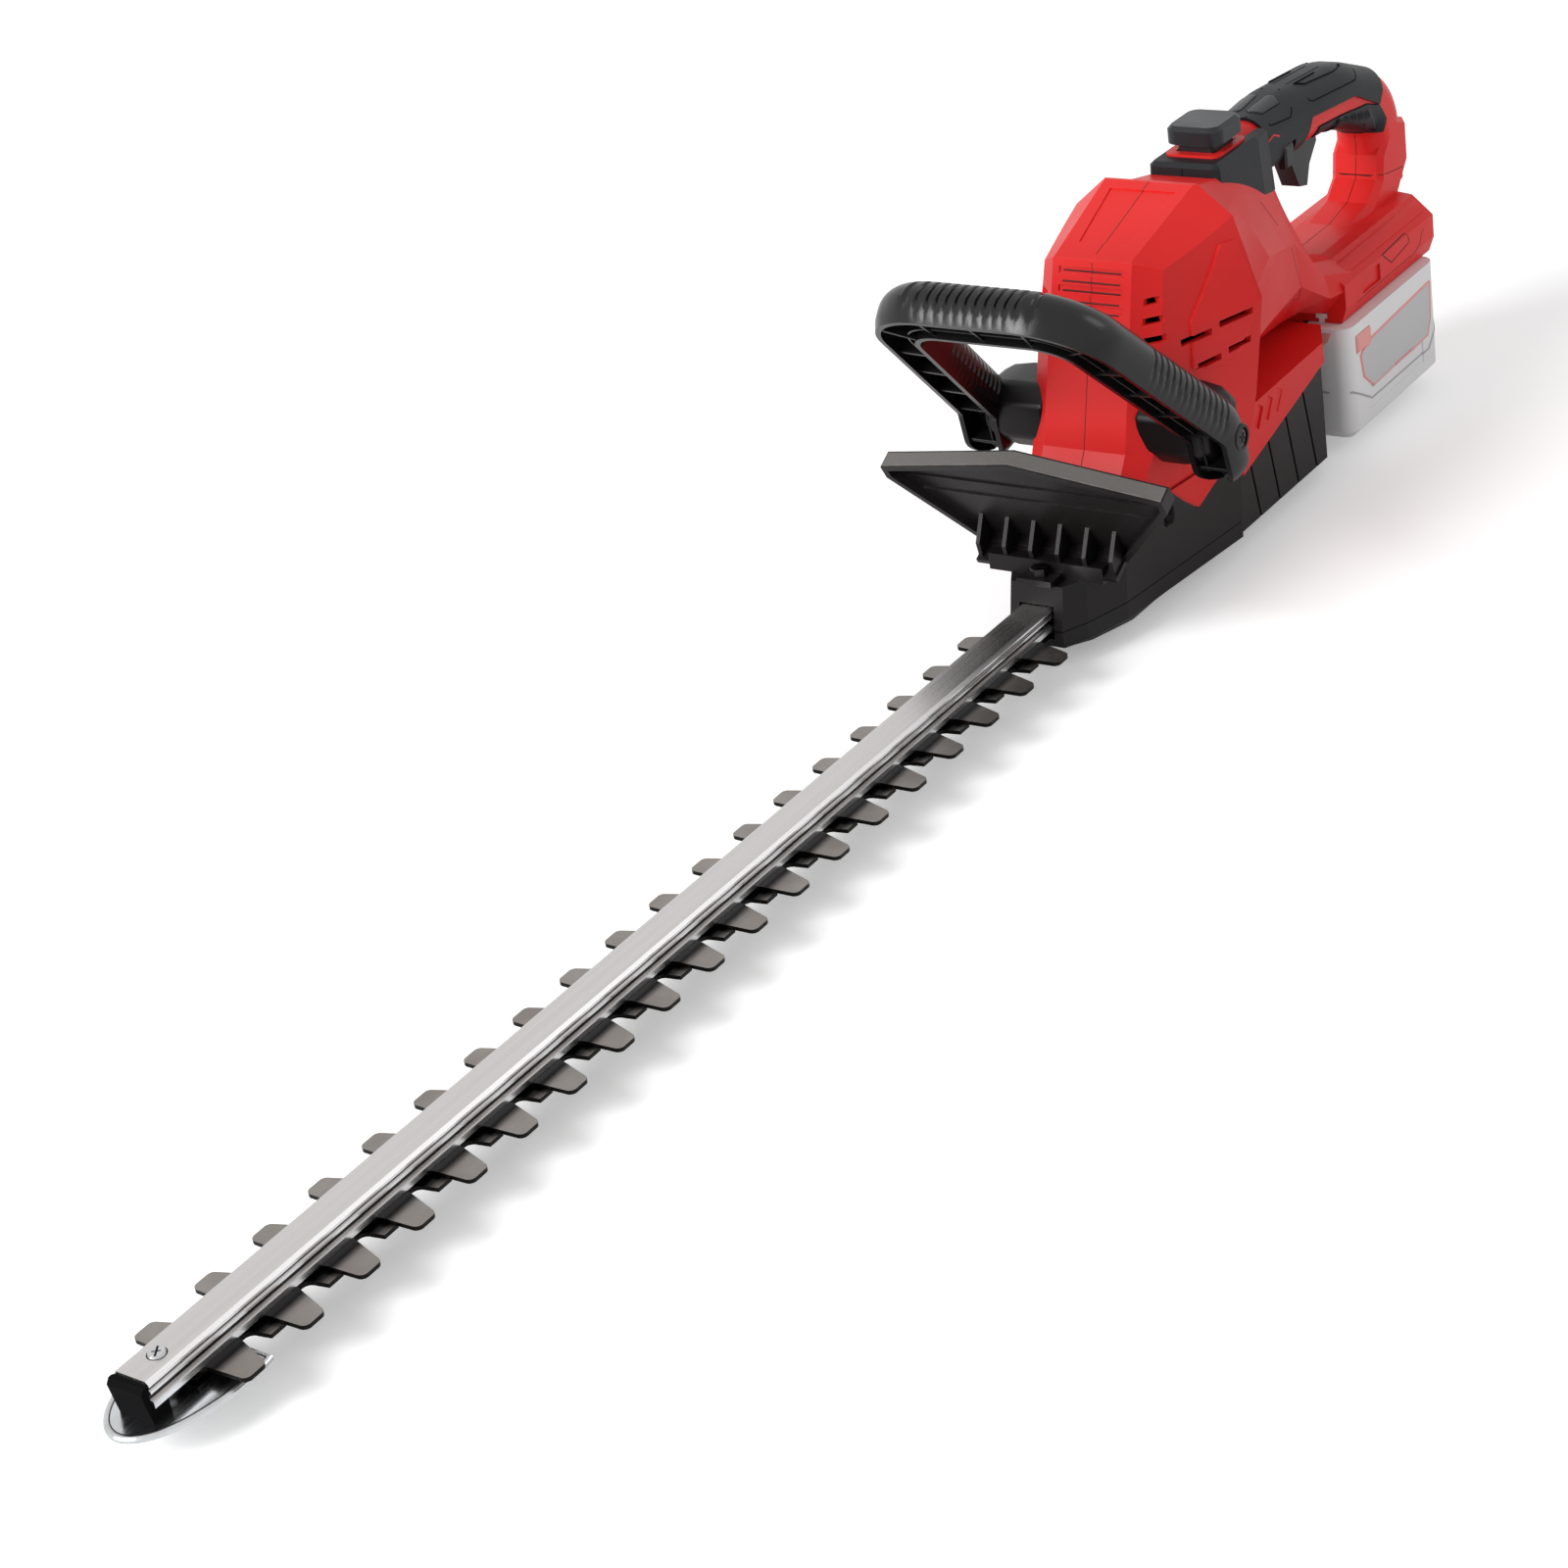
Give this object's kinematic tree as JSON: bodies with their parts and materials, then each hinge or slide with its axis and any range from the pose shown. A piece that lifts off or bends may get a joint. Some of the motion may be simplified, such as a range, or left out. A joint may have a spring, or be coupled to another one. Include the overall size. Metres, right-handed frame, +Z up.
{
  "type": "hedge trimmer",
  "caption": "Cordless hedge trimmer with a long double-sided reciprocating blade, bail front handle, hand guard, turning rear handle and slide-on battery pack.",
  "frame": {"origin": "on the flat underside of the gear case, below the axis of the drive gear", "axes": "+X along the blade to its tip, +Y to the user's left, +Z up"},
  "size_m": [0.986, 0.154, 0.1991],
  "materials": {
    "red_shell": "fine moulded texture",
    "black_shell": "fine moulded texture",
    "soft_grip": "matt overmould",
    "black_button": "satin",
    "bar_alloy": "bright drawn",
    "blade_steel": "ground",
    "skid_steel": "polished",
    "screw_steel": "plated",
    "dark_screw": "black oxide",
    "gear_steel": "machined",
    "deck_alloy": "cast",
    "motor_steel": "plated",
    "fan_plastic": "moulded",
    "pack_shell": "pale grey moulded",
    "latch_plastic": "pale red moulded",
    "cell_wrap": "shrink sleeve",
    "contact_brass": "plated"
  },
  "bodies": {
    "body": {"gear_case_lower": "black_shell", "gear_case_upper": "black_shell", "tail_cover": "black_shell", "body_left": "red_shell", "body_right": "red_shell", "gearbox_deck": "deck_alloy", "bar_screws": "screw_steel", "guide_bar": "bar_alloy", "blade_bolts": "screw_steel", "blade_washers": "screw_steel", "tip_block": "black_shell", "tip_plate": "skid_steel", "tip_screw": "screw_steel", "lower_bearing": "gear_steel", "upper_bearing": "gear_steel", "motor_can": "motor_steel", "bail_handle": "black_shell", "bail_screws": "dark_screw", "hand_guard": "black_shell", "guard_screw": "dark_screw", "case_screws": "dark_screw"},
    "upper_blade": {"upper_blade": "blade_steel"},
    "lower_blade": {"lower_blade": "blade_steel"},
    "drive_gear": {"drive_gear": "gear_steel", "gear_shaft": "gear_steel", "upper_cam": "gear_steel", "lower_cam": "gear_steel", "shaft_spacers": "gear_steel"},
    "motor_rotor": {"motor_shaft": "gear_steel", "motor_pinion": "gear_steel", "motor_fan": "fan_plastic"},
    "rear_handle": {"turntable_hub": "black_shell", "handle_left": "red_shell", "handle_right": "red_shell", "handle_collar": "soft_grip", "grip_cover": "soft_grip", "finger_pad": "soft_grip", "trigger_pin": "gear_steel", "trigger_spring": "gear_steel", "trigger_switch": "black_shell", "terminal_block": "contact_brass"},
    "trigger": {"trigger": "black_button"},
    "rotation_button": {"rotation_button": "black_button", "button_spring": "gear_steel"},
    "lock_slider": {"lock_slider": "black_button"},
    "battery_pack": {"pack_lower": "pack_shell", "pack_upper": "pack_shell", "pack_cells": "cell_wrap"},
    "latch_left": {"latch_left": "latch_plastic"},
    "latch_right": {"latch_right": "latch_plastic"}
  },
  "joints": [
    {"name": "upper_blade_stroke", "type": "slide", "parent": "body", "child": "upper_blade", "axis": [1, 0, 0], "range_m": [-0.006, 0.006]},
    {"name": "lower_blade_stroke", "type": "slide", "parent": "body", "child": "lower_blade", "axis": [1, 0, 0], "range_m": [-0.0061, 0.0061]},
    {"name": "gear_turn", "type": "hinge", "parent": "body", "child": "drive_gear", "pos_m": [0, 0, 0.026], "axis": [0, 0, 1], "range_deg": [-60.5, 60.5]},
    {"name": "motor_spin", "type": "hinge", "parent": "body", "child": "motor_rotor", "pos_m": [-0.02875, 0, 0.03], "axis": [0, 0, 1], "range_deg": [-287, 287]},
    {"name": "handle_turn", "type": "hinge", "parent": "body", "child": "rear_handle", "pos_m": [-0.08, 0, 0.135], "axis": [1, 0, 0], "range_deg": [-90, 90]},
    {"name": "trigger_squeeze", "type": "hinge", "parent": "rear_handle", "child": "trigger", "pos_m": [-0.206, 0, 0.163], "axis": [0, 1, 0], "range_deg": [0, 10], "stiffness_Nm_per_rad": 0.4},
    {"name": "rotation_release", "type": "slide", "parent": "rear_handle", "child": "rotation_button", "axis": [0, 0, -1], "range_m": [0, 0.004], "stiffness_N_per_m": 800},
    {"name": "lock_off_slide", "type": "slide", "parent": "rear_handle", "child": "lock_slider", "axis": [-1, 0, 0], "range_m": [0, 0.004], "stiffness_N_per_m": 300},
    {"name": "pack_slide", "type": "slide", "parent": "rear_handle", "child": "battery_pack", "axis": [-1, 0, 0], "range_m": [0, 0.11]},
    {"name": "latch_left_press", "type": "slide", "parent": "battery_pack", "child": "latch_left", "axis": [0, -1, 0], "range_m": [0, 0.0025], "stiffness_N_per_m": 400},
    {"name": "latch_right_press", "type": "slide", "parent": "battery_pack", "child": "latch_right", "axis": [0, 1, 0], "range_m": [0, 0.0025], "stiffness_N_per_m": 400}
  ],
  "couplings": [
    {"joint": "lower_blade_stroke", "follows": "upper_blade_stroke", "ratio": -1},
    {"joint": "gear_turn", "follows": "upper_blade_stroke", "rad_per_m": -174.53},
    {"joint": "motor_spin", "follows": "upper_blade_stroke", "rad_per_m": 829.03}
  ]
}
